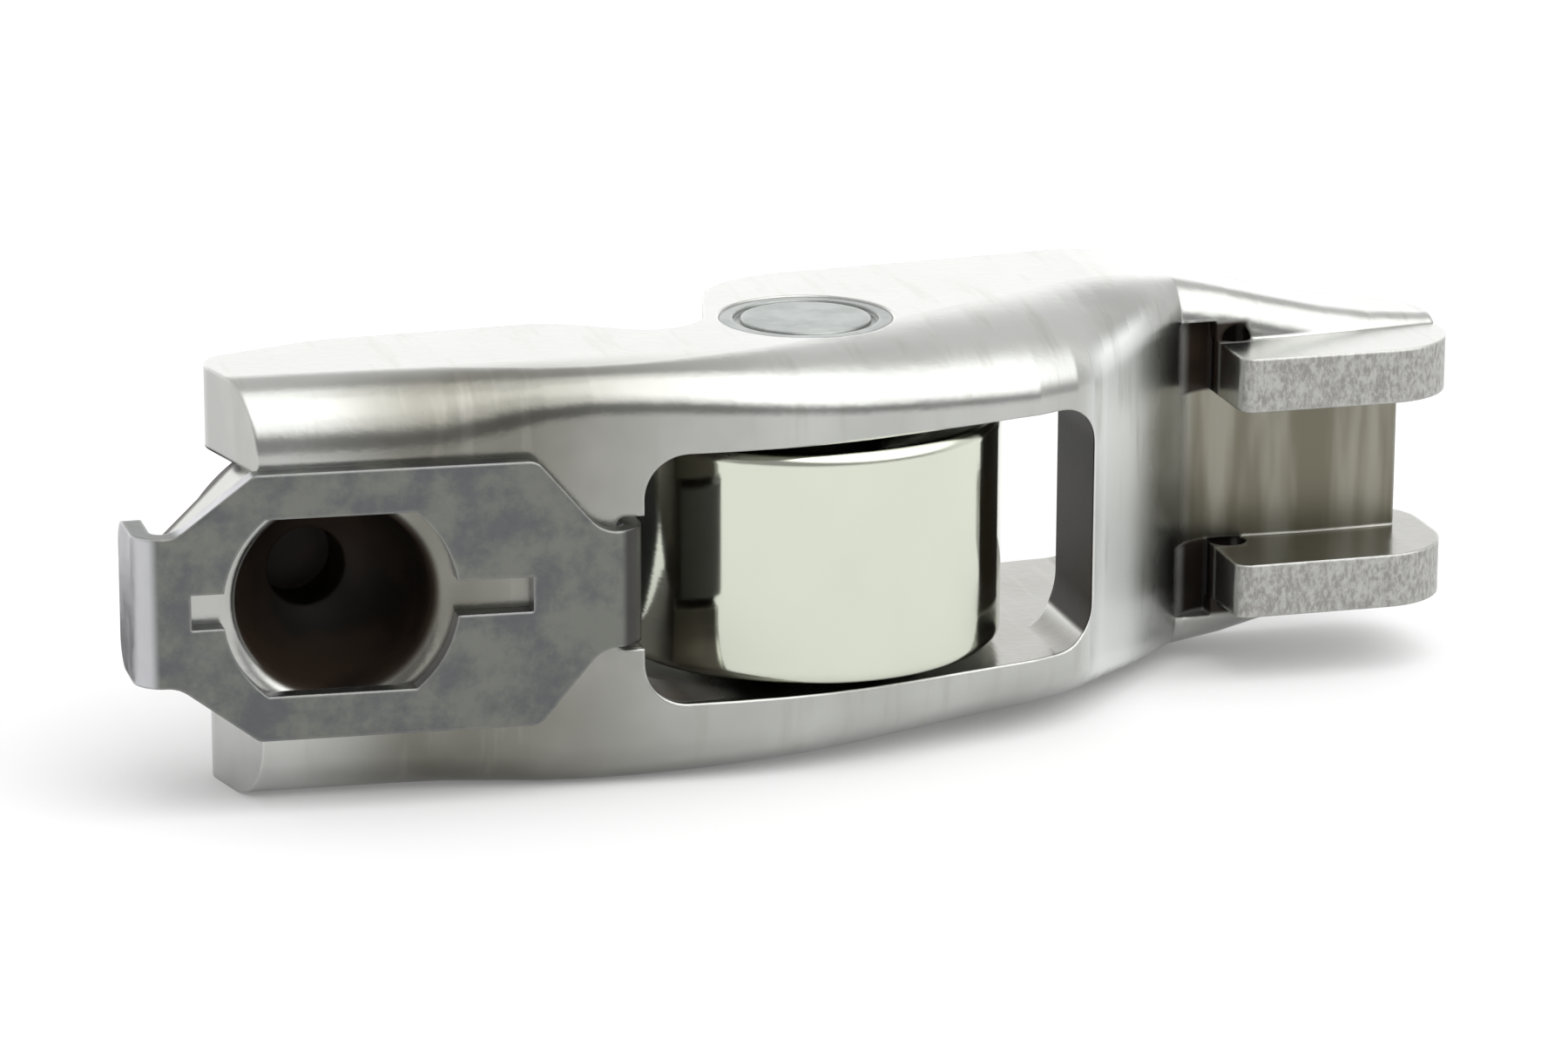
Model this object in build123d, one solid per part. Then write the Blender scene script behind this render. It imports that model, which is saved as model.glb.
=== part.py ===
from build123d import *
import os
from math import atan, cos, degrees, hypot, pi, sin

# Rocker arm with a needle-borne roller: a roller finger follower. All lengths are in millimetres.
# The origin is the centre of the pivot ball. +X runs along the lever to the valve, +Y from the
# underside to the cam side, and +Z along the roller axle, which points up as the lever lies on its side.

# Sheet of the lever
sheet = 3.5

# Roller, pin and needles
axle_x = 22.0
axle_y = 5.5
roller_diameter = 17.0
roller_width = 10.1
roller_edge = 0.5
roller_bore_chamfer = 0.3
roller_side_clearance = 0.4
pin_diameter = 6.8
pin_recess = 0.05
stake_depth = 0.5
stake_spread = 0.4
stake_groove_radius = 2.8
stake_groove_width = 0.35
stake_groove_depth = 0.2
needle_diameter = 1.6
needle_length = 9.2
needle_count = 16
needle_end = 0.25
needle_clearance = 0.03

# Pivot socket
ball_radius = 4.0
ball_clearance = 0.05
socket_mouth_depth = 1.6
socket_entry = 0.8
dome_wall = 2.6
pocket_diameter = 3.4
pocket_lean = 5.0
pocket_depth = 2.4
pocket_wall = 1.2
pip_edge = 1.0

# Underside seen from the side: straight runs joined by bends
body_end_x = -7.3
body_end_half = 1.5
body_shoulder_x = -3.25
knee_x = 20.4
knee_y = -2.9
knee_radius = 26.0
ramp_foot_x = 32.8
ramp_foot_y = 0.25
ramp_foot_radius = 8.0
ramp_top_x = 41.1
ramp_top_radius = 3.0
pallet_y = 9.15
pallet_crown = 0.3
pallet_crown_x = 46.5
pallet_crown_radius = 30.0
pallet_end_x = 50.7

# Window for the roller
window_start_x = 12.85
window_end_x = 33.8
window_corner = 1.9

# Outer bends between the underside and the side walls
bend_at_socket = 3.0
bend_at_neck = 1.8
neck_start_x = 3.5
neck_x = 10.5
bend_height_at_ramp = 7.0
bend_width_at_ramp = 3.0
bend_at_valve = 1.6

# Valve end: two guide flanges beside the pallet
valve_end_half = 6.2
taper_start_x = 36.0
flange_start_x = 41.7
flange_end_x = 52.2
flange_y = 4.7
flange_nose = 3.4
flange_corner = 0.6
pallet_corner = 2.4
flange_sheet = 2.4
slot_width = 7.0
relief_y = 8.3
relief_half = 6.8
relief_hole_x = 42.6
relief_hole_y = 8.9
relief_hole_radius = 0.9

# Cam-side edge of the side walls
wall_foot_x = -2.85
wall_end_x = -4.8
wall_end_y = 4.8
wall_end_radius = 1.8
hump_start_x = 1.0
hump_start_y = 6.8
hump_start_radius = 5.0
hump_end_x = 11.0
hump_end_y = 7.2
hump_end_radius = 3.0
valley_x = 17.0
valley_y = 3.4
valley_radius = 2.5
ear_x = 19.3
ear_y = 13.1
ear_radius = 5.0
shoulder_x = 38.0
shoulder_y = 14.8
shoulder_radius = 8.0
wall_foot_radius = 6.0

# Retaining clip
clip_sheet = 0.8
clip_half_width = 5.7
clip_hole_radius = 4.9
clip_grip = 7.6
clip_slot_width = 1.5
clip_slot_left = 6.2
clip_slot_right = 8.0
clip_tab_width = 6.4
clip_tab_y = 2.3
clip_tab_corner = 1.2
clip_tab_neck_x = -6.8
clip_tab_neck_radius = 1.4
clip_tongue_width = 5.0
clip_tongue_height = 3.0
clip_corner_x = -3.5
clip_corner_radius = 0.5
clip_shoulder_x = 8.2
clip_shoulder_radius = 0.8
clip_neck_x = 10.9
clip_neck_radius = 1.5
clip_bend = 0.5
clip_gap = 0.02
clip_nose_gap = 0.36
clip_seat_depth = 1.2
clip_seat_margin = 0.4
clip_seat_corner = 0.4

channel_half = roller_width / 2 + roller_side_clearance
half_width = channel_half + sheet
pin_radius = pin_diameter / 2
needle_radius = needle_diameter / 2
needle_orbit = pin_radius + needle_clearance + needle_radius
roller_bore_radius = needle_orbit + needle_radius + needle_clearance
socket_radius = ball_radius + ball_clearance
dome_radius = socket_radius + dome_wall
pocket_rim_y = (socket_radius**2 - (pocket_diameter / 2) ** 2) ** 0.5
valve_top_y = pallet_y + sheet
wall_end_slope = (hump_start_y - wall_end_y) / (hump_start_x - wall_end_x)

# How far cuts stay off the faces they pass, how far they run past an end, and how far they reach out
trim = 0.05
overrun = 2.0
reach = flange_end_x - body_end_x + overrun

# Handle of the curve that stands for a quarter of an ellipse, and steps between the sheet's sections
quarter_pull = 4 / 3 * (2**0.5 - 1)
channel_step = 2.0
ramp_step = 0.9
valve_step = 2.4
halvings = 40


def unit(start, end):
    length = hypot(end[0] - start[0], end[1] - start[1])
    return (end[0] - start[0]) / length, (end[1] - start[1]) / length


def offset_corners(points, distance):
    """Corners of the same bent line, moved to its left by distance."""
    moved = []
    for i, point in enumerate(points):
        after = unit(point, points[i + 1]) if i < len(points) - 1 else unit(points[i - 1], point)
        before = unit(points[i - 1], point) if i > 0 else after
        normal = (-before[1] - after[1], before[0] + after[0])
        along = distance / (normal[1] * before[0] - normal[0] * before[1])
        moved.append((point[0] + normal[0] * along, point[1] + normal[1] * along))
    return moved


# The underside from the socket end to the valve end, and the cam-side face of the same sheet
socket_slope = (knee_y + socket_mouth_depth) / knee_x
line_start_x = body_end_x - overrun
line_start_y = socket_slope * line_start_x - socket_mouth_depth
underside = [
    (line_start_x, line_start_y),
    (knee_x, knee_y),
    (ramp_foot_x, ramp_foot_y),
    (ramp_top_x, pallet_y + pallet_crown),
    (pallet_crown_x, pallet_y),
    (2 * pallet_crown_x - ramp_top_x, pallet_y + pallet_crown),
]
ramp_slope = (pallet_y + pallet_crown - ramp_foot_y) / (ramp_top_x - ramp_foot_x)
relief_x = ramp_top_x - (pallet_y + pallet_crown - relief_y) / ramp_slope
underside_radii = [knee_radius, ramp_foot_radius, ramp_top_radius, pallet_crown_radius]
topside_radii = [
    knee_radius - sheet,
    ramp_foot_radius - sheet,
    ramp_top_radius + sheet,
    pallet_crown_radius - sheet,
]
underside_wire = FilletPolyline(*underside, radius=underside_radii)
topside_wire = FilletPolyline(*offset_corners(underside, sheet), radius=topside_radii)


def underside_y(x):
    """Y of the underside at x, found by halving the line."""
    low, high = 0.0, 1.0
    for _ in range(halvings):
        middle = (low + high) / 2
        if (underside_wire @ middle).X < x:
            low = middle
        else:
            high = middle
    return (underside_wire @ low).Y


def ease(x, start, end):
    """Smooth step from 0 at start to 1 at end."""
    t = min(max((x - start) / (end - start), 0.0), 1.0)
    return t * t * (3 - 2 * t)


def side_face(line, *corners):
    """Face of the side view between a line and the corners that close it."""
    return make_face([line, Polyline(line @ 1, *corners, line @ 0)])


def side_prism(face, half_depth):
    """Solid from a side view, the same depth on both sides of the middle plane."""
    return extrude(face, half_depth, both=True)


def plan_prism(face, low_y, high_y):
    """Solid from a plan view, whose own X and Y are the lever's X and Z, between two heights."""
    plane = Plane(origin=(0, high_y, 0), x_dir=(1, 0, 0), z_dir=(0, -1, 0))
    return extrude(plane * face, high_y - low_y)


def about_ball(profile):
    """Turn a profile of X and Y about the socket's own axis, square to the underside there."""
    tilt = degrees(atan(socket_slope))
    return Rot(0, 0, tilt) * revolve(profile, axis=Axis.Y)


def along_pocket(profile):
    """Turn a profile of X and Y about the pocket's axis, which leans back towards the socket end."""
    return Rot(0, 0, pocket_lean) * revolve(profile, axis=Axis.Y)


def bend_size(x):
    """Height and width of the outer bend at x. It tightens past the socket, opens to the ramp's foot
    and shrinks up the ramp."""
    growth = ease(x, neck_x, ramp_foot_x)
    fade = ease(x, ramp_foot_x, flange_start_x)
    start = bend_at_socket + (bend_at_neck - bend_at_socket) * ease(x, neck_start_x, neck_x)
    height = start + (bend_height_at_ramp - start) * growth
    width = start + (bend_width_at_ramp - start) * growth
    return height + (bend_at_valve - height) * fade, width + (bend_at_valve - width) * fade


def channel_section(x, base_y):
    """Outer section at x: a flat base, two elliptical bends and straight side walls."""
    height, width = bend_size(x)
    half = half_width + (valve_end_half - half_width) * ease(x, taper_start_x, flange_end_x)
    flat = half - width
    shoulder = base_y + height
    plane = Plane(origin=(x, 0, 0), x_dir=(0, 0, 1), z_dir=(-1, 0, 0))
    right = Bezier(
        (flat, base_y),
        (flat + quarter_pull * width, base_y),
        (half, shoulder - quarter_pull * height),
        (half, shoulder),
    )
    left = Bezier(
        (-half, shoulder),
        (-half, shoulder - quarter_pull * height),
        (-flat - quarter_pull * width, base_y),
        (-flat, base_y),
    )
    top = Polyline((half, shoulder), (half, reach / 2), (-half, reach / 2), (-half, shoulder))
    return plane * make_face([Line((-flat, base_y), (flat, base_y)), right, top, left])


def stations(start, end, step):
    """Even places from start to end, about a step apart."""
    count = round((end - start) / step)
    return [start + (end - start) * i / count for i in range(count + 1)]


def outer_skin():
    """Outside of the bent sheet: along the channel and up the ramp, then along the valve end."""
    along = stations(line_start_x, ramp_foot_x, channel_step)
    along += stations(ramp_foot_x, relief_x, ramp_step)[1:]
    channel = loft([channel_section(x, underside_y(x)) for x in along], ruled=True)
    past = stations(relief_x, flange_end_x + overrun, valve_step)
    valve_end = loft([channel_section(x, relief_y) for x in past], ruled=True)
    return channel + valve_end


def guide_flanges():
    """Block for the two guide flanges, with the rounded nose that leads past the pallet."""
    corners = [
        (flange_start_x, flange_y),
        (flange_end_x, flange_y),
        (flange_end_x, valve_top_y),
        (flange_start_x, valve_top_y),
    ]
    outline = FilletPolyline(*corners, radius=[flange_corner, flange_nose, pallet_corner, 0], close=True)
    return side_prism(make_face(outline), slot_width / 2 + flange_sheet)


def side_outline():
    """What the side view keeps: the cam-side edge with its hump, valley, ear and shoulder."""
    corners = [
        (-reach, -reach),
        (flange_end_x, -reach),
        (flange_end_x, valve_top_y),
        (flange_start_x, valve_top_y),
        (shoulder_x, shoulder_y),
        (ear_x, ear_y),
        (valley_x, valley_y),
        (hump_end_x, hump_end_y),
        (hump_start_x, hump_start_y),
        (-reach, hump_start_y - wall_end_slope * (reach + hump_start_x)),
    ]
    radii = [
        0,
        0,
        pallet_corner,
        wall_foot_radius,
        shoulder_radius,
        ear_radius,
        valley_radius,
        hump_end_radius,
        hump_start_radius,
        0,
    ]
    return side_prism(make_face(FilletPolyline(*corners, radius=radii, close=True)), reach / 2)


def plan_outline():
    """What the plan view keeps: the base's socket end is cut off obliquely to a narrow nose."""
    corners = [
        (body_end_x, -body_end_half),
        (body_shoulder_x, -channel_half),
        (-reach, -channel_half),
        (-reach, -reach / 2),
        (reach, -reach / 2),
        (reach, reach / 2),
        (-reach, reach / 2),
        (-reach, channel_half),
        (body_shoulder_x, channel_half),
        (body_end_x, body_end_half),
    ]
    return plan_prism(make_face(Polyline(*corners, close=True)), -reach / 2, reach / 2)


def wall_ends():
    """Room past the side walls at the socket end. Each wall leans out over the base's oblique cut."""
    lean = (wall_end_x - wall_foot_x) / (wall_end_y - knee_y)
    corners = [
        (-reach, -reach),
        (wall_foot_x - lean * (reach + knee_y), -reach),
        (wall_end_x, wall_end_y + trim),
        (hump_start_x, hump_start_y + trim),
        (hump_start_x, reach),
        (-reach, reach),
    ]
    outline = FilletPolyline(*corners, radius=[0, 0, wall_end_radius, 0, 0, 0], close=True)
    return side_prism(make_face(outline), reach / 2) - Box(3 * reach, 3 * reach, 2 * (channel_half - trim))


def channel_space():
    """Room between the side walls, down to the cam-side face of the base, the ramp and the pallet."""
    above = side_face(topside_wire, (reach, reach / 2), (line_start_x, reach / 2))
    narrow = channel_half - (half_width - valve_end_half) * ease(flange_start_x, taper_start_x, flange_end_x)
    corners = [
        (-reach / 2, -channel_half),
        (taper_start_x, -channel_half),
        (flange_start_x, -narrow),
        (flange_start_x, narrow),
        (taper_start_x, channel_half),
        (-reach / 2, channel_half),
    ]
    walls = plan_prism(make_face(Polyline(*corners, close=True)), -reach / 2, reach / 2)
    return side_prism(above, reach / 2) & walls


def valve_slot():
    """Room between the guide flanges under the pallet, and past the pallet's end."""
    below = side_face(underside_wire, (reach, -reach / 2), (line_start_x, -reach / 2))
    length = flange_end_x + overrun - relief_x
    keep = Pos(relief_x + length / 2, 0, 0) * Box(length, reach, slot_width)
    past_end = Pos(pallet_end_x + length / 2, 0, 0) * Box(length, reach, slot_width)
    before_length = flange_start_x - relief_x
    before = Pos(relief_x + before_length / 2, 0, 0) * Box(before_length, reach, 2 * relief_half)
    flush = (side_prism(below, slot_width / 2) & keep) + (side_prism(below, relief_half) & before)
    return flush + past_end


def relief_holes():
    """Blind round-ended reliefs at the root of each guide flange, outside the pallet."""
    straight = relief_half - relief_hole_radius
    hole = Cylinder(relief_hole_radius, 2 * straight)
    for end_z in (-straight, straight):
        hole = hole + Pos(0, 0, end_z) * Sphere(relief_hole_radius)
    return Pos(relief_hole_x, relief_hole_y, 0) * hole - Box(2 * reach, 2 * reach, slot_width)


def roller_window():
    """Opening for the roller, with a shallow notch in its edge that seats the clip's tongue."""
    length = window_end_x - window_start_x
    outline = Pos(window_start_x + length / 2, 0) * RectangleRounded(length, 2 * channel_half, window_corner)
    seat_width = clip_tongue_width + 2 * clip_seat_margin
    seat = Pos(window_start_x, 0) * RectangleRounded(2 * clip_seat_depth, seat_width, clip_seat_corner)
    return plan_prism(outline + seat, -reach / 2, underside_y(window_end_x) + 2 * sheet)


def socket_dome():
    """Cup that the punch raises on the cam side, with a short pip over the pocket."""
    dome = Sphere(dome_radius) - Pos(0, -dome_radius, 0) * Box(reach, 2 * dome_radius, reach)
    pip_top = pocket_rim_y + pocket_depth + pocket_wall
    pip_radius = pocket_diameter / 2 + pocket_wall
    profile = make_face(
        FilletPolyline(
            (0, pocket_rim_y), (pip_radius, pocket_rim_y), (pip_radius, pip_top), (0, pip_top),
            radius=[0, 0, pip_edge, 0], close=True,
        )
    )
    return dome + along_pocket(profile)


def socket_space():
    """Ball seat with a rounded mouth and a blind pocket at its top."""
    mouth = -socket_mouth_depth * cos(atan(socket_slope))
    corner = socket_entry * (1 - cos(pi / 4))
    seat = ThreePointArc(
        (0, socket_radius),
        (socket_radius * sin(pi / 4), socket_radius * cos(pi / 4)),
        (socket_radius, 0),
    )
    entry = ThreePointArc(
        (socket_radius, mouth + socket_entry),
        (socket_radius + corner, mouth + corner),
        (socket_radius + socket_entry, mouth),
    )
    wall = Line((socket_radius, 0), (socket_radius, mouth + socket_entry))
    below = Polyline(
        (socket_radius + socket_entry, mouth),
        (socket_radius + socket_entry, -reach / 4),
        (0, -reach / 4),
        (0, socket_radius),
    )
    pocket_top = pocket_rim_y + pocket_depth
    pocket = Pos(pocket_diameter / 4, pocket_top / 2) * Rectangle(pocket_diameter / 2, pocket_top)
    return about_ball(make_face([seat, wall, entry, below])) + along_pocket(pocket)


def axle_holes():
    """Bore through both side walls, opened at its outer ends where the pin is staked."""
    face_z = half_width
    shank_z = face_z - stake_depth
    profile = Polyline(
        (0, -reach / 4),
        (pin_radius + stake_spread, -reach / 4),
        (pin_radius + stake_spread, -face_z),
        (pin_radius, -shank_z),
        (pin_radius, shank_z),
        (pin_radius + stake_spread, face_z),
        (pin_radius + stake_spread, reach / 4),
        (0, reach / 4),
        close=True,
    )
    return along_axle(profile)


def along_axle(outline):
    """Turn an outline of radius and Z about the roller axle."""
    return Pos(axle_x, axle_y, 0) * revolve(Plane.XZ * make_face(outline), axis=Axis.Z)


def lever_body():
    body = (outer_skin() + guide_flanges()) & side_outline() & plan_outline()
    body = body - channel_space() - valve_slot() + (socket_dome() & plan_outline())
    return body - socket_space() - roller_window() - axle_holes() - relief_holes() - wall_ends()


def axle_pin():
    end_z = half_width - pin_recess
    shank_z = half_width - stake_depth
    end_radius = pin_radius + stake_spread * (stake_depth - pin_recess) / stake_depth
    groove_out = stake_groove_radius + stake_groove_width
    groove_z = end_z - stake_groove_depth
    half = [
        (pin_radius, shank_z),
        (end_radius, end_z),
        (groove_out, end_z),
        (groove_out, groove_z),
        (stake_groove_radius, groove_z),
        (stake_groove_radius, end_z),
    ]
    mirrored = [(radius, -z) for radius, z in reversed(half)]
    return along_axle(Polyline((0, -end_z), *mirrored, *half, (0, end_z), close=True))


def roller():
    side = roller_width / 2
    outer = roller_diameter / 2
    inner = roller_bore_radius
    lead = roller_bore_radius + roller_bore_chamfer
    corners = [
        (inner, roller_bore_chamfer - side),
        (lead, -side),
        (outer, -side),
        (outer, side),
        (lead, side),
        (inner, side - roller_bore_chamfer),
    ]
    return along_axle(FilletPolyline(*corners, radius=[0, 0, roller_edge, roller_edge, 0, 0], close=True))


def needle(index):
    angle = 2 * pi * index / needle_count
    shape = chamfer(Cylinder(needle_radius, needle_length).edges(), needle_end)
    return Pos(axle_x + needle_orbit * cos(angle), axle_y + needle_orbit * sin(angle), 0) * shape


def clip_strip():
    """Side view of the clip: over the nose of the body, along the underside and into the window."""
    nose_x = body_end_x - clip_nose_gap
    under = clip_gap + socket_mouth_depth
    window_x = window_start_x - clip_seat_depth + clip_nose_gap
    end_y = socket_slope * window_x - under
    inner = [
        (nose_x, clip_tab_y),
        (nose_x, socket_slope * nose_x - under),
        (window_x, end_y),
        (window_x, end_y + clip_tongue_height),
    ]
    outer = offset_corners(inner, -clip_sheet)
    inside = FilletPolyline(*inner, radius=clip_bend)
    outside = FilletPolyline(*outer, radius=clip_bend + clip_sheet)
    ends = [Line(inside @ 0, outside @ 0), Line(inside @ 1, outside @ 1)]
    return side_prism(make_face([inside, outside, *ends]), clip_half_width)


def clip_outline():
    tab = clip_tab_width / 2
    tongue = clip_tongue_width / 2
    half = [
        (-reach / 2, tab),
        (clip_tab_neck_x, tab),
        (clip_corner_x, clip_half_width),
        (clip_shoulder_x, clip_half_width),
        (clip_neck_x, tongue),
        (reach / 2, tongue),
    ]
    mirrored = [(x, -z) for x, z in reversed(half)]
    radii = [0, clip_tab_neck_radius, clip_corner_radius, clip_shoulder_radius, clip_neck_radius, 0]
    outline = make_face(FilletPolyline(*half, *mirrored, radius=radii + radii[::-1], close=True))
    grip = Circle(clip_hole_radius) & Rectangle(reach, clip_grip)
    slot_length = clip_slot_left + clip_slot_right
    slot = Pos((clip_slot_right - clip_slot_left) / 2, 0) * Rectangle(slot_length, clip_slot_width)
    return plan_prism(outline - grip - slot, -reach / 2, reach / 2)


def retaining_clip():
    clip = clip_strip() & clip_outline()
    tab_corners = clip.edges().filter_by(Axis.X).group_by(Axis.Y)[-1]
    return fillet(tab_corners, clip_tab_corner)


nodes = {
    "lever_body": lever_body(),
    "roller": roller(),
    "axle_pin": axle_pin(),
    "retaining_clip": retaining_clip(),
}
for i in range(needle_count):
    nodes[f"needle_{i + 1:02d}"] = needle(i)

os.makedirs("parts", exist_ok=True)
for name, shape in nodes.items():
    export_step(shape, f"parts/{name}.step")
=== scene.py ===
from math import cos, radians, sin

import bpy
from mathutils import Matrix, Vector


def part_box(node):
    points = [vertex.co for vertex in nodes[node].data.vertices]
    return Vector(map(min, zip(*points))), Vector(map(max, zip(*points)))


# Looks of the rocker arm as it lies on one side wall. Lengths are in metres.
# +X runs along the lever to the valve, +Y to the cam side and +Z up along the roller axle.
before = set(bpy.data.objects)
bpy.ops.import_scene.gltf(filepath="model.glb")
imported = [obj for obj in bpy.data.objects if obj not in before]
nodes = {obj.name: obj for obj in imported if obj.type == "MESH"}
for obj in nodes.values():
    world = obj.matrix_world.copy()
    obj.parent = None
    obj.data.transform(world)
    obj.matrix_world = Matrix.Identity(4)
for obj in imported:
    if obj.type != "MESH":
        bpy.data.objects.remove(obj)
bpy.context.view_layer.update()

MM = 0.001


def span(start, end):
    """A mask's two places, given in millimetres: where it is 0 and where it reaches 1."""
    return start * MM, end * MM


def colour(red, green, blue):
    return (red, green, blue, 1.0)


# Where the camera stands: round the roller axle, with the frame's own offset
IMAGE_WIDTH = 1800
IMAGE_HEIGHT = 1200
SENSOR_WIDTH = 36.0
LOOK_AT = Vector((22.0, 5.5, 0.0)) * MM
LOOK_PIXEL = (923.8, 593.6)
CAMERA_DISTANCE = 265.6 * MM
CAMERA_AZIMUTH = radians(-15.5)
CAMERA_ELEVATION = radians(15.95)
CAMERA_ROLL = radians(0.2)
CAMERA_NEAR = 0.01
CAMERA_FAR = 10.0
PIXELS_PER_MM = 26.52

# Ball socket and its pocket, measured from the ball's centre and from the Y axis
SOCKET_REACH = span(4.5, 4.25)
POCKET_REACH = span(2.45, 2.2)
POCKET_FOOT_Y = span(2.0, 2.25)
POCKET_TOP_Y = span(6.85, 6.6)

# Inside of the channel, with the dome's outside. A side is measured from the middle plane.
CHANNEL_SIDE = span(5.55, 5.5)
CHANNEL_START_X = span(-3.5, -3.0)
CHANNEL_END_X = span(17.5, 14.5)
CHANNEL_FOOT_Y = span(-2.3, -2.0)
CHANNEL_FACES_Y = (-0.9, -0.6)
DOME_FOOT_Y = span(1.6, 2.1)
INNER_FACES_Z = (0.6, 0.9)

# End of the window by the ramp
RIM_START_X = span(33.2, 33.4)
RIM_END_X = span(34.2, 34.0)
RIM_FACES_X = (-0.3, -0.7)

# Darker underside from the socket to the roller
DARKENED_START_X = span(-2.0, 4.0)
DARKENED_END_X = span(20.0, 4.0)
DARKENED_TOP_Y = span(1.5, -0.5)

# Ramp, pallet, guide flanges and the relief notches beside them
RAMP_START_X = span(32.8, 34.8)
RAMP_END_X = span(39.0, 36.0)
RAMP_FACES_X = (0.35, 0.6)
RAMP_FACES_Y = (-0.35, -0.6)
PALLET_START_X = span(39.6, 41.1)
PALLET_FOOT_Y = span(7.4, 8.4)
PALLET_SIDE = span(3.65, 3.55)
PALLET_FACES_Y = (-0.2, -0.5)
FLANGE_START_X = span(41.4, 41.7)
FLANGE_TOP_Y = span(7.6, 7.1)
FLANGE_SIDE = span(3.35, 3.55)
FLANGE_FACES_Y = (-0.3, -0.6)
NOTCH_START_X = span(39.7, 40.7)
NOTCH_END_X = span(43.4, 43.0)
NOTCH_FOOT_Y = span(7.6, 8.2)
NOTCH_TOP_Y = span(10.4, 10.0)
NOTCH_SIDE = span(6.9, 6.6)

# Clip: the bent-up tab and the tongue that hooks into the window
TAB_FACES_X = (-0.25, -0.6)
TONGUE_START_X = span(10.8, 11.3)
TONGUE_FACES_X = (0.1, 0.4)

# Colours, each pair from the darker to the lighter tone of a mottled surface
SATIN_STEEL = colour(0.42, 0.425, 0.405), colour(0.49, 0.495, 0.475)
# Darker underside round the socket, also used as painted shade on the channel's inner walls
DARKENED_STEEL = colour(0.15, 0.145, 0.120), colour(0.21, 0.205, 0.180)
WORN_PALLET = colour(0.17, 0.16, 0.12), colour(0.30, 0.29, 0.24)
CUT_FLANGE = colour(0.29, 0.285, 0.265), colour(0.47, 0.47, 0.45)
# Painted shade, near black, in the socket cup, its pocket, the window's end face and the relief
# notches
PAINTED_RECESS_SHADE = colour(0.012, 0.009, 0.007), colour(0.030, 0.020, 0.014)
# Painted shade inside the channel round the roller
PAINTED_CHANNEL_SHADE = colour(0.040, 0.034, 0.028), colour(0.080, 0.068, 0.054)
CLIP_FINISH = colour(0.115, 0.12, 0.125), colour(0.19, 0.195, 0.175)
PUNCHED_PIN = colour(0.19, 0.21, 0.20), colour(0.30, 0.32, 0.31)
POLISHED_ROLLER = colour(0.60, 0.62, 0.53), colour(0.65, 0.68, 0.58)
OILED_NEEDLE = colour(0.60, 0.57, 0.50), colour(0.76, 0.75, 0.72)
# Painted light on the ramp's faces
PAINTED_RAMP_LIGHT = colour(0.78, 0.80, 0.78)
DRAWN_LINES = colour(0.33, 0.32, 0.29)
# Lever edges, lighter by wear and by a painted highlight
LEVER_EDGE_WEAR_AND_HIGHLIGHT = colour(0.66, 0.66, 0.64)
# Painted light on the clip's bent-up tab
PAINTED_TAB_LIGHT = colour(0.50, 0.50, 0.52)
# Painted shade, near black, on the clip's tongue inside the window
PAINTED_TONGUE_SHADE = colour(0.02, 0.018, 0.016)
# Clip and pin edges, lighter by wear and by a painted highlight
CLIP_EDGE_WEAR_AND_HIGHLIGHT = colour(0.50, 0.50, 0.48)
PIN_EDGE_WEAR_AND_HIGHLIGHT = colour(0.52, 0.53, 0.51)
BLACK = colour(0.01, 0.01, 0.01)
WHITE = colour(1.0, 1.0, 1.0)

# Roughness, gloss and relief
SATIN_ROUGHNESS = (0.19, 0.26)
RAMP_ROUGHNESS = 0.46
PALLET_ROUGHNESS = 0.36
FLANGE_ROUGHNESS = 0.42
OILED_ROUGHNESS = 0.50
CLIP_ROUGHNESS = (0.34, 0.48)
ROLLER_ROUGHNESS = (0.07, 0.11)
PIN_ROUGHNESS = (0.26, 0.38)
NEEDLE_ROUGHNESS = (0.14, 0.28)
PLAIN_SPECULAR = 0.5
OILED_SPECULAR = 0.2
LEVER_RELIEF = 0.012 * MM
CLIP_RELIEF = 0.014 * MM
ROLLER_RELIEF = 0.002 * MM
PIN_RELIEF = 0.008 * MM
NEEDLE_RELIEF = 0.003 * MM

# How far some tones come through
# Share of the painted shade on the channel's inner walls
INNER_SHADE_SHARE = 0.75
DRAWN_SHARE = 0.30
GREASE_SHARE = 0.7
EDGE_SHARE = 0.5
CLIP_EDGE_SHARE = 0.45

# Parts of a noise's range that turn one tone into the other
CLOSE = (0.4, 0.6)
SOFT = (0.35, 0.65)
WIDE = (0.3, 0.7)

# Rounded edges: their size, and the turn of the normal at which they begin and are full
EDGE_RADIUS = 0.22 * MM
EDGE_TURN = (0.995, 0.86)
EDGE_SAMPLES = 6

# Floor, and the black card that only reflections see: a painted dark reflection
FLOOR_SIZE = 3.0
FLOOR_TONE = 0.64
FLOOR_GLOW = 0.16
FLAG_LOW = Vector((-33.0, 13.0, -8.4)) * MM
FLAG_HIGH = Vector((9.0, 32.0, -8.4)) * MM

# Room: strengths of its sides, and the directions where one gives way to the next
ROOM_FRONT = 0.40
ROOM_SIDES = 0.95
ROOM_BACK = 1.75
ROOM_SOFTBOX = 2.3
SIDES_FROM_Y = (-0.7, -0.1)
BACK_FROM_Y = (0.55, 0.85)
BACK_BELOW_Z = (0.50, 0.28)
SOFTBOX_FROM = (0.66, 0.86)

# Softbox lamp
SOFTBOX_WAY = Vector((0.35, -0.35, 0.87)).normalized()
SOFTBOX_DISTANCE = 0.45
SOFTBOX_SIZE = 0.40
SOFTBOX_POWER = 0.4


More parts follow.
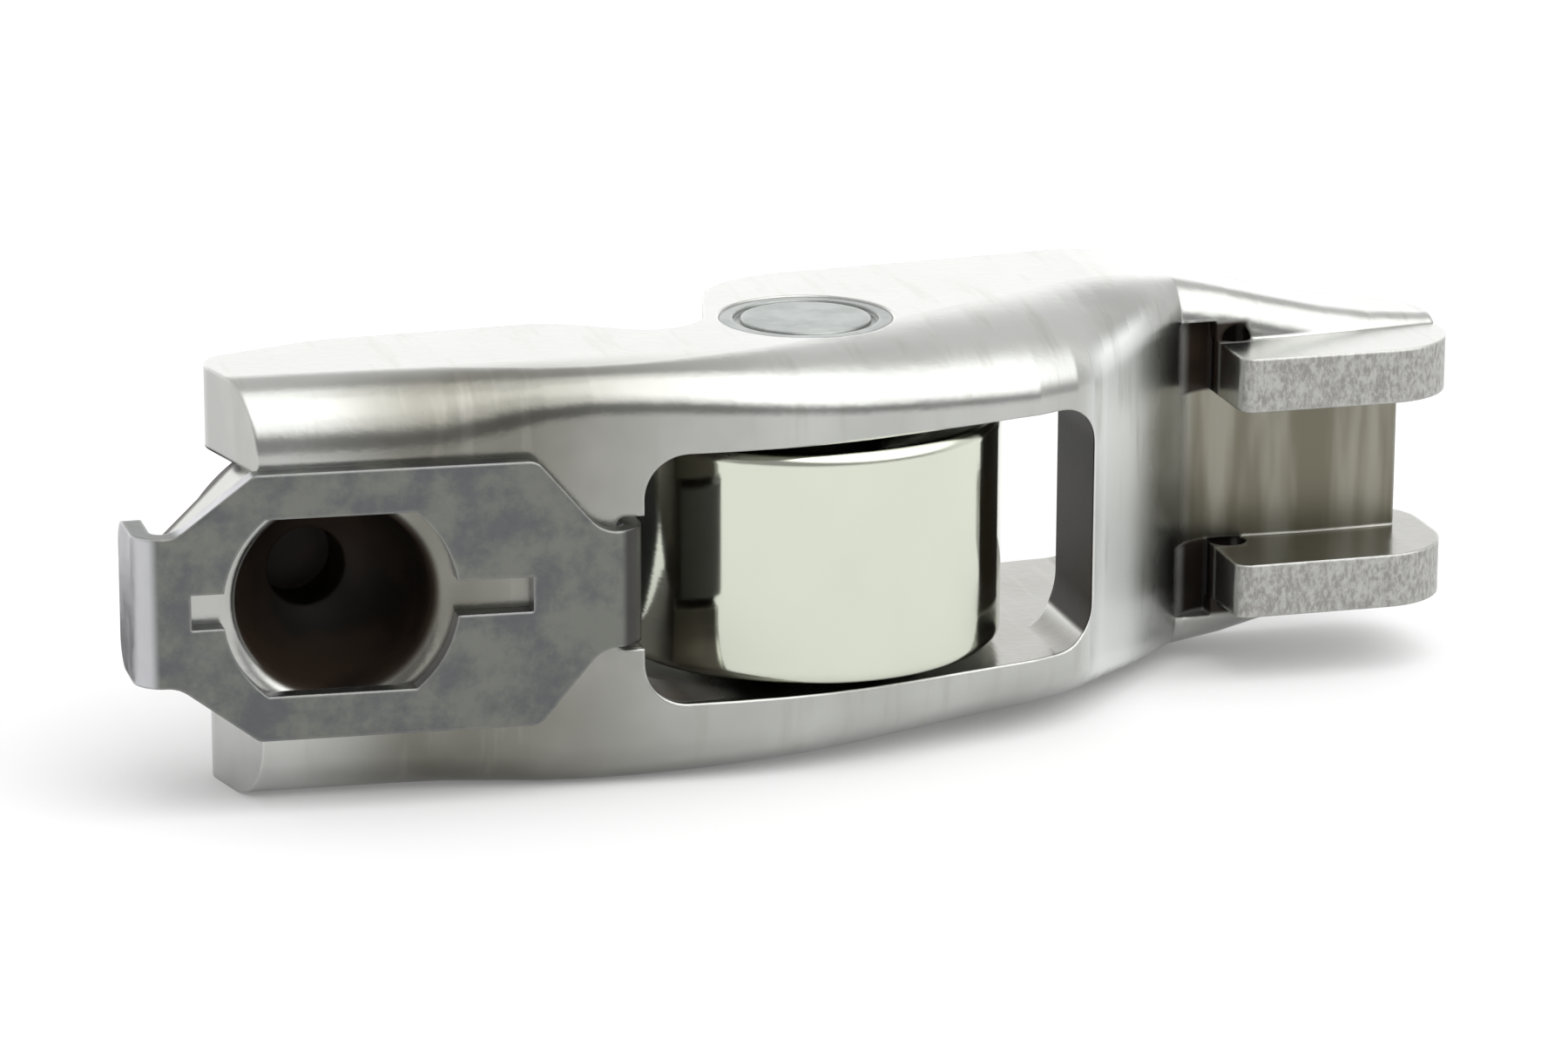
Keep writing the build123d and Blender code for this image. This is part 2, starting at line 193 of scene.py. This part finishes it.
class Graph:
    """Short calls for the nodes of one material or of the world."""

    def __init__(self, tree):
        self.tree = tree
        tree.nodes.clear()

    def node(self, kind, inputs=None, **settings):
        made = self.tree.nodes.new(kind)
        for name, value in settings.items():
            setattr(made, name, value)
        for name, value in (inputs or {}).items():
            self.put(made.inputs[name], value)
        return made

    def put(self, socket, value):
        if isinstance(value, bpy.types.NodeSocket):
            self.tree.links.new(value, socket)
        else:
            socket.default_value = value

    def math(self, operation, first, second=0.0):
        return self.node("ShaderNodeMath", {0: first, 1: second}, operation=operation).outputs[0]

    def vector_math(self, operation, first, second=None):
        inputs = {0: first} if second is None else {0: first, 1: second}
        return self.node("ShaderNodeVectorMath", inputs, operation=operation).outputs

    def step(self, value, places):
        """Smooth rise from 0 at the first place to 1 at the second, which may be the lower one."""
        start, end = places
        rising = end > start
        low, high = (start, end) if rising else (end, start)
        inputs = {0: value, 1: low, 2: high, 3: 0.0 if rising else 1.0, 4: 1.0 if rising else 0.0}
        return self.node("ShaderNodeMapRange", inputs, interpolation_type="SMOOTHSTEP").outputs[0]

    def all_of(self, first, *others):
        for mask in others:
            first = self.math("MULTIPLY", first, mask)
        return first

    def any_of(self, first, *others):
        for mask in others:
            first = self.math("MAXIMUM", first, mask)
        return first

    def mix(self, factor, first, second):
        """Mix of two colours."""
        made = self.node("ShaderNodeMix", data_type="RGBA")
        self.put(made.inputs[0], factor)
        self.put(made.inputs[6], first)
        self.put(made.inputs[7], second)
        return made.outputs[2]

    def blend(self, factor, first, second):
        """Mix of two numbers."""
        made = self.node("ShaderNodeMix", data_type="FLOAT")
        self.put(made.inputs[0], factor)
        self.put(made.inputs[2], first)
        self.put(made.inputs[3], second)
        return made.outputs[0]

    def mottled(self, noise, places, tones):
        return self.mix(self.step(noise, places), *tones)

    def place(self):
        """The surface's own coordinates in metres, which move with its body."""
        return self.node("ShaderNodeTexCoord").outputs["Object"]

    def normal(self):
        return self.node("ShaderNodeNewGeometry").outputs["Normal"]

    def parts(self, vector):
        return self.node("ShaderNodeSeparateXYZ", {0: vector}).outputs

    def length(self, vector):
        return self.vector_math("LENGTH", vector)["Value"]

    def dot(self, first, second):
        return self.vector_math("DOT_PRODUCT", first, second)["Value"]

    def stretched(self, place, stretch):
        return self.vector_math("MULTIPLY", place, stretch)[0]

    def noise(self, place, scale, detail=4.0, roughness=0.55):
        inputs = {"Vector": place, "Scale": scale, "Detail": detail, "Roughness": roughness}
        return self.node("ShaderNodeTexNoise", inputs).outputs[0]

    def edges(self):
        """Mask of the edges, which the materials lighten as wear and painted highlight, and the
        normal that rounds them.
        """
        bevel = self.node("ShaderNodeBevel", {"Radius": EDGE_RADIUS}, samples=EDGE_SAMPLES)
        rounded = bevel.outputs[0]
        return self.step(self.dot(rounded, self.normal()), EDGE_TURN), rounded

    def bump(self, height, distance, normal=None):
        inputs = {"Height": height, "Distance": distance, "Strength": 1.0}
        if normal is not None:
            inputs["Normal"] = normal
        return self.node("ShaderNodeBump", inputs).outputs[0]


def metal(name):
    """A new material with its graph and the inputs of its metal shader."""
    material = bpy.data.materials.new(name)
    material.use_nodes = True
    graph = Graph(material.node_tree)
    shader = graph.node("ShaderNodeBsdfPrincipled", {"Metallic": 1.0})
    graph.node("ShaderNodeOutputMaterial", {0: shader.outputs[0]})
    return material, graph, shader.inputs


def matt_surface(name, tone):
    """A new material with its graph and a matt shader, not yet joined to an output."""
    material = bpy.data.materials.new(name)
    material.use_nodes = True
    graph = Graph(material.node_tree)
    return material, graph, graph.node("ShaderNodeBsdfDiffuse", {"Color": tone}).outputs[0]


def lever_masks(g, place):
    """Masks of the places on the lever that differ from its satin sheet."""
    x, y, z = g.parts(place)
    facing_x, facing_y, facing_z = g.parts(g.normal())
    across = g.math("ABSOLUTE", z)
    inside = g.step(across, CHANNEL_SIDE)
    # Painted shade in the pocket at the socket's crown
    pocket = g.all_of(
        g.step(g.length(g.stretched(place, (1.0, 0.0, 1.0))), POCKET_REACH),
        g.step(y, POCKET_FOOT_Y),
        g.step(y, POCKET_TOP_Y),
    )
    # Painted shade on the window's end face by the ramp
    rim = g.all_of(
        inside,
        g.step(x, RIM_START_X),
        g.step(x, RIM_END_X),
        g.step(facing_x, RIM_FACES_X),
    )
    # Painted shade in the relief notches beside the flanges
    notch = g.all_of(
        g.step(x, NOTCH_START_X),
        g.step(x, NOTCH_END_X),
        g.step(y, NOTCH_FOOT_Y),
        g.step(y, NOTCH_TOP_Y),
        g.step(across, FLANGE_SIDE),
        g.step(across, NOTCH_SIDE),
    )
    # Painted shade inside the channel, from the socket end to the roller
    channel = g.all_of(
        inside,
        g.any_of(g.step(y, DOME_FOOT_Y), g.step(x, CHANNEL_START_X)),
        g.step(x, CHANNEL_END_X),
        g.step(y, CHANNEL_FOOT_Y),
        g.step(facing_y, CHANNEL_FACES_Y),
    )
    darkened = g.all_of(g.step(x, DARKENED_START_X), g.step(x, DARKENED_END_X), g.step(y, DARKENED_TOP_Y))
    # Painted shade on the walls' inner faces inside the channel
    inner_wall_shade = g.all_of(inside, g.step(g.math("ABSOLUTE", facing_z), INNER_FACES_Z), INNER_SHADE_SHARE)
    # Ramp faces, which get painted light and a rougher finish
    ramp = g.all_of(
        g.step(facing_x, RAMP_FACES_X),
        g.step(facing_y, RAMP_FACES_Y),
        g.step(x, RAMP_START_X),
        g.step(x, RAMP_END_X),
    )
    pallet = g.all_of(
        g.step(x, PALLET_START_X),
        g.step(y, PALLET_FOOT_Y),
        g.step(across, PALLET_SIDE),
        g.step(facing_y, PALLET_FACES_Y),
    )
    flange = g.all_of(
        g.step(x, FLANGE_START_X),
        g.step(across, FLANGE_SIDE),
        g.step(facing_y, FLANGE_FACES_Y),
        g.step(y, FLANGE_TOP_Y),
    )
    # Painted shade in the socket cup, its pocket, the window's end face and the notches
    recess_shade = g.any_of(rim, notch, g.step(g.length(place), SOCKET_REACH), pocket)
    return recess_shade, channel, g.any_of(darkened, inner_wall_shade), ramp, pallet, flange


def lever_steel():
    """Satin case-hardened sheet with a darker underside; painted shade in the socket, channel and
    notches; painted light on the ramp; a worn pallet and raw cut flanges.
    """
    material, g, shader = metal("lever_steel")
    place = g.place()
    recess_shade, channel, darkened, ramp, pallet, flange = lever_masks(g, place)
    edge, rounded = g.edges()
    clouds = g.noise(place, 160.0, detail=3.0)
    grain = g.noise(place, 2600.0, detail=3.0, roughness=0.6)
    drawn = g.noise(g.stretched(place, (1.0, 0.12, 0.12)), 1500.0, detail=2.0)
    streaks = g.noise(g.stretched(place, (1.0, 0.2, 0.12)), 420.0, detail=3.0)
    scratches = g.noise(g.stretched(place, (1.0, 1.0, 0.5)), 5200.0, roughness=0.65)

    # Darker underside, and painted shade on the channel's inner walls
    base = g.mix(darkened, g.mottled(clouds, SOFT, SATIN_STEEL), g.mottled(clouds, SOFT, DARKENED_STEEL))
    # Painted light on the ramp
    base = g.mix(ramp, base, PAINTED_RAMP_LIGHT)
    base = g.mix(g.all_of(g.step(drawn, (0.52, 0.75)), DRAWN_SHARE), base, DRAWN_LINES)
    base = g.mix(pallet, base, g.mottled(streaks, (0.4, 0.62), WORN_PALLET))
    base = g.mix(flange, base, g.mottled(scratches, (0.34, 0.66), CUT_FLANGE))
    # Edges lighter by wear and by a painted highlight
    base = g.mix(g.all_of(edge, EDGE_SHARE), base, LEVER_EDGE_WEAR_AND_HIGHLIGHT)
    # Painted shade inside the channel
    base = g.mix(channel, base, g.mottled(clouds, CLOSE, PAINTED_CHANNEL_SHADE))
    # Painted shade, near black, in the socket, pocket, window end and notches
    g.put(shader["Base Color"], g.mix(recess_shade, base, g.mottled(clouds, CLOSE, PAINTED_RECESS_SHADE)))

    dark = g.any_of(recess_shade, g.all_of(channel, GREASE_SHARE))
    g.put(shader["Metallic"], g.math("SUBTRACT", 1.0, dark))
    g.put(shader["Specular IOR Level"], g.blend(dark, PLAIN_SPECULAR, OILED_SPECULAR))

    rough = g.blend(g.step(clouds, WIDE), *SATIN_ROUGHNESS)
    rough = g.blend(ramp, rough, RAMP_ROUGHNESS)
    rough = g.blend(pallet, rough, PALLET_ROUGHNESS)
    rough = g.blend(flange, rough, FLANGE_ROUGHNESS)
    g.put(shader["Roughness"], g.blend(dark, rough, OILED_ROUGHNESS))
    g.put(shader["Normal"], g.bump(g.blend(0.5, grain, drawn), LEVER_RELIEF, rounded))
    return material


def clip_steel():
    """Dull spring steel with a mottled dark finish, edges lighter by wear and painted highlight,
    painted light on the tab and painted shade on the tongue.
    """
    material, g, shader = metal("clip_steel")
    place = g.place()
    x, y, _ = g.parts(place)
    facing_x = g.parts(g.normal())[0]
    edge, rounded = g.edges()
    mottle = g.noise(place, 420.0, detail=5.0, roughness=0.65)
    grain = g.noise(place, 3200.0, detail=3.0, roughness=0.6)
    # Painted shade on the tongue's faces hidden inside the window
    hidden = g.any_of(g.step(facing_x, TONGUE_FACES_X), g.step(y, CHANNEL_FOOT_Y))
    tongue = g.all_of(hidden, g.step(x, TONGUE_START_X))

    base = g.mottled(mottle, (0.36, 0.64), CLIP_FINISH)
    # Painted light on the tab's faces
    base = g.mix(g.step(facing_x, TAB_FACES_X), base, PAINTED_TAB_LIGHT)
    # Edges lighter by wear and by a painted highlight
    base = g.mix(g.all_of(edge, CLIP_EDGE_SHARE), base, CLIP_EDGE_WEAR_AND_HIGHLIGHT)
    # Painted shade on the tongue
    g.put(shader["Base Color"], g.mix(tongue, base, PAINTED_TONGUE_SHADE))
    g.put(shader["Metallic"], g.math("SUBTRACT", 1.0, tongue))
    g.put(shader["Roughness"], g.blend(g.step(mottle, WIDE), *CLIP_ROUGHNESS))
    g.put(shader["Normal"], g.bump(grain, CLIP_RELIEF, rounded))
    return material


def roller_steel():
    """Ground and polished bearing steel with faint rings round the axle."""
    material, g, shader = metal("roller_steel")
    place = g.place()
    rings = g.noise(g.stretched(place, (0.02, 0.02, 1.0)), 6000.0, detail=3.0)
    clouds = g.noise(place, 220.0, detail=3.0)
    rounded = g.edges()[1]
    g.put(shader["Base Color"], g.mix(clouds, *POLISHED_ROLLER))
    g.put(shader["Roughness"], g.blend(g.step(clouds, WIDE), *ROLLER_ROUGHNESS))
    g.put(shader["Normal"], g.bump(rings, ROLLER_RELIEF, rounded))
    return material


def pin_steel():
    """Ground pin whose ends are dulled by the staking punch."""
    material, g, shader = metal("pin_steel")
    place = g.place()
    clouds = g.noise(place, 600.0)
    edge, rounded = g.edges()
    base = g.mottled(clouds, SOFT, PUNCHED_PIN)
    # Edges lighter by wear and by a painted highlight
    g.put(shader["Base Color"], g.mix(g.all_of(edge, EDGE_SHARE), base, PIN_EDGE_WEAR_AND_HIGHLIGHT))
    g.put(shader["Roughness"], g.blend(clouds, *PIN_ROUGHNESS))
    g.put(shader["Normal"], g.bump(g.noise(place, 2400.0, detail=3.0), PIN_RELIEF, rounded))
    return material


def needle_steel():
    """Polished needles under a thin film of oil."""
    material, g, shader = metal("needle_steel")
    place = g.place()
    film = g.noise(place, 500.0, detail=3.0)
    g.put(shader["Base Color"], g.mix(film, *OILED_NEEDLE))
    g.put(shader["Roughness"], g.blend(film, *NEEDLE_ROUGHNESS))
    g.put(shader["Normal"], g.bump(g.noise(place, 3000.0, detail=2.0), NEEDLE_RELIEF))
    return material


def shown_ray(g):
    """1 for what the camera sees itself or in a reflection, 0 for light that falls on surfaces."""
    path = g.node("ShaderNodeLightPath").outputs
    return g.any_of(path["Is Camera Ray"], path["Is Glossy Ray"], path["Is Transmission Ray"])


def white_floor():
    """Matt white floor. What the camera sees of it glows a little, and the shadow stays."""
    material, g, matt = matt_surface("white_floor", colour(FLOOR_TONE, FLOOR_TONE, FLOOR_TONE))
    glow = g.node("ShaderNodeEmission", {"Strength": g.all_of(shown_ray(g), FLOOR_GLOW)})
    both = g.node("ShaderNodeAddShader", {0: matt, 1: glow.outputs[0]})
    g.node("ShaderNodeOutputMaterial", {0: both.outputs[0]})
    return material


# Matt black card that paints a dark reflection
def painted_reflection_card():
    material, g, matt = matt_surface("painted_reflection_card", BLACK)
    g.node("ShaderNodeOutputMaterial", {0: matt})
    return material


def lay_sheet(name, low, high, material):
    """A flat sheet that lies level between two corners."""
    mesh = bpy.data.meshes.new(name)
    corners = [low, (high.x, low.y, low.z), high, (low.x, high.y, low.z)]
    mesh.from_pydata(corners, [], [(0, 1, 2, 3)])
    mesh.materials.append(material)
    sheet = bpy.data.objects.new(name, mesh)
    bpy.context.scene.collection.objects.link(sheet)
    return sheet


def lay_floor():
    ground = min(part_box(name)[0].z for name in nodes)
    half = FLOOR_SIZE / 2
    low = Vector((-half, -half, ground))
    floor = lay_sheet("floor", low, Vector((half, half, ground)), white_floor())


def lay_flag():
    """A black card just above the floor behind the socket end, seen only in reflections: a painted
    dark reflection.
    """
    flag = lay_sheet("flag", FLAG_LOW, FLAG_HIGH, painted_reflection_card())
    flag.visible_camera = False
    flag.visible_diffuse = False
    flag.visible_shadow = False


def light_studio():
    """A bright sweep low behind, a softbox overhead, and a room that is dimmer in front."""
    world = bpy.data.worlds.new("studio")
    world.use_nodes = True
    bpy.context.scene.world = world
    g = Graph(world.node_tree)
    way = g.node("ShaderNodeTexCoord").outputs["Generated"]
    _, y, z = g.parts(way)
    low_behind = g.all_of(g.step(y, BACK_FROM_Y), g.step(z, BACK_BELOW_Z))
    strength = g.blend(g.step(y, SIDES_FROM_Y), ROOM_FRONT, ROOM_SIDES)
    strength = g.blend(low_behind, strength, ROOM_BACK)
    strength = g.blend(g.step(g.dot(way, SOFTBOX_WAY), SOFTBOX_FROM), strength, ROOM_SOFTBOX)
    background = g.node("ShaderNodeBackground", {"Color": WHITE, "Strength": strength})
    g.node("ShaderNodeOutputWorld", {0: background.outputs[0]})

    lamp = bpy.data.lights.new("softbox", "AREA")
    lamp.shape = "SQUARE"
    lamp.size = SOFTBOX_SIZE
    lamp.energy = SOFTBOX_POWER
    softbox = bpy.data.objects.new("softbox", lamp)
    softbox.location = LOOK_AT + SOFTBOX_WAY * SOFTBOX_DISTANCE
    softbox.rotation_euler = (LOOK_AT - softbox.location).to_track_quat("-Z", "Y").to_euler()
    bpy.context.scene.collection.objects.link(softbox)


def stand_camera():
    """The photograph's camera, turned round its own axis by the roll."""
    back = Vector((
        sin(CAMERA_AZIMUTH) * cos(CAMERA_ELEVATION),
        -cos(CAMERA_AZIMUTH) * cos(CAMERA_ELEVATION),
        sin(CAMERA_ELEVATION),
    ))
    level = Vector((cos(CAMERA_AZIMUTH), sin(CAMERA_AZIMUTH), 0.0))
    upright = back.cross(level)
    right = cos(CAMERA_ROLL) * level + sin(CAMERA_ROLL) * upright
    up = cos(CAMERA_ROLL) * upright - sin(CAMERA_ROLL) * level
    focus = PIXELS_PER_MM * CAMERA_DISTANCE / MM
    aside = (LOOK_PIXEL[0] - IMAGE_WIDTH / 2) / focus * CAMERA_DISTANCE
    below = (LOOK_PIXEL[1] - IMAGE_HEIGHT / 2) / focus * CAMERA_DISTANCE
    stand = LOOK_AT + back * CAMERA_DISTANCE - right * aside + up * below

    data = bpy.data.cameras.new("camera")
    data.sensor_width = SENSOR_WIDTH
    data.lens = focus / IMAGE_WIDTH * SENSOR_WIDTH
    data.clip_start = CAMERA_NEAR
    data.clip_end = CAMERA_FAR
    camera = bpy.data.objects.new("camera", data)
    camera.matrix_world = Matrix.Translation(stand) @ Matrix((right, up, back)).transposed().to_4x4()
    bpy.context.scene.collection.objects.link(camera)
    bpy.context.scene.camera = camera


def dress(material, *names):
    for name in names:
        for slot in nodes[name].material_slots:
            slot.material = material


dress(lever_steel(), "lever_body")
dress(clip_steel(), "retaining_clip")
dress(roller_steel(), "roller")
dress(pin_steel(), "axle_pin")
dress(needle_steel(), *[name for name in nodes if name.startswith("needle")])
lay_floor()
lay_flag()
light_studio()
stand_camera()
bpy.context.scene.view_settings.view_transform = "Standard"
